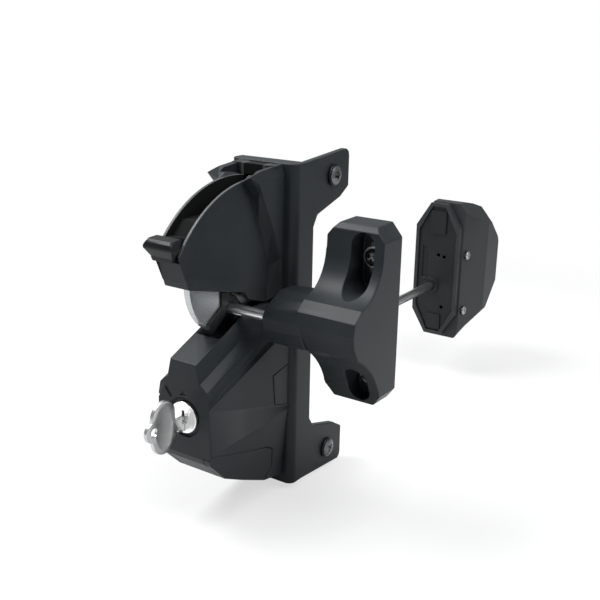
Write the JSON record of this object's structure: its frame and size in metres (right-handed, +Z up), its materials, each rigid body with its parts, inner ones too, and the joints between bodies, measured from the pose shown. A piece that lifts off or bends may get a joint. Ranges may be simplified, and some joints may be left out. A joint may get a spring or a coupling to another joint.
{
  "type": "gate latch",
  "caption": "Keyed gate latch with a rotary cam and thumb lever, a corner base, a drive rod to an outside key unit, and a sliding striker with a steel pin.",
  "frame": {"origin": "on the post's front face, on the latch's centre plane, level with the striker pin", "axes": "+X across the gate gap towards the striker, +Y into the post, +Z up"},
  "size_m": [0.108, 0.3894, 0.2018],
  "materials": {
    "black": "fine satin grain",
    "dark": "satin",
    "steel": "fine brushed",
    "bright": "polished nickel"
  },
  "bodies": {
    "latch": {"base_plate": "black", "upper_housing": "black", "lower_housing": "black", "housing_screws": "steel", "side_caps": "black", "foot_pads": "black", "post_screws": "steel", "cam_pin": "steel", "cam_pin_clip": "steel", "lock_barrel": "steel", "barrel_clip": "steel", "outside_back": "black", "outside_cover": "black", "outside_barrel": "steel", "outside_screws": "steel"},
    "cam": {"cam_plate": "steel", "cam_liner": "dark", "cam_washers": "steel", "cam_rivets": "steel", "thumb_lever": "dark"},
    "lock_core": {"lock_plug": "bright", "lock_tail": "steel"},
    "key": {"key": "bright"},
    "bolt": {"lock_bolt": "steel"},
    "rod": {"drive_rod": "steel", "outside_plug": "bright"},
    "striker": {"striker_body": "black", "striker_pin": "bright", "striker_screws": "steel", "striker_washers": "steel"}
  },
  "joints": [
    {"name": "cam_lift", "type": "hinge", "parent": "latch", "child": "cam", "pos_m": [0, -0.038, 0.0145], "axis": [-1, 0, 0], "range_deg": [0, 70]},
    {"name": "striker_slide", "type": "slide", "parent": "latch", "child": "striker", "axis": [0, -1, 0], "range_m": [0, 0.022]},
    {"name": "key_turn", "type": "hinge", "parent": "latch", "child": "lock_core", "pos_m": [0, -0.08, -0.053], "axis": [0, -1, 0], "range_deg": [0, 90]},
    {"name": "key_slide", "type": "slide", "parent": "lock_core", "child": "key", "axis": [0, -1, 0], "range_m": [0, 0.03]},
    {"name": "bolt_slide", "type": "slide", "parent": "latch", "child": "bolt", "axis": [0, 0, 1], "range_m": [0, 0.004]},
    {"name": "rod_turn", "type": "hinge", "parent": "latch", "child": "rod", "pos_m": [0, 0, -0.0477], "axis": [0, -1, 0], "range_deg": [0, 90]}
  ],
  "couplings": [
    {"joint": "striker_slide", "follows": "cam_lift", "m_per_rad": 0.018007},
    {"joint": "bolt_slide", "follows": "key_turn", "m_per_rad": 0.002546},
    {"joint": "rod_turn", "follows": "key_turn", "ratio": 1}
  ]
}
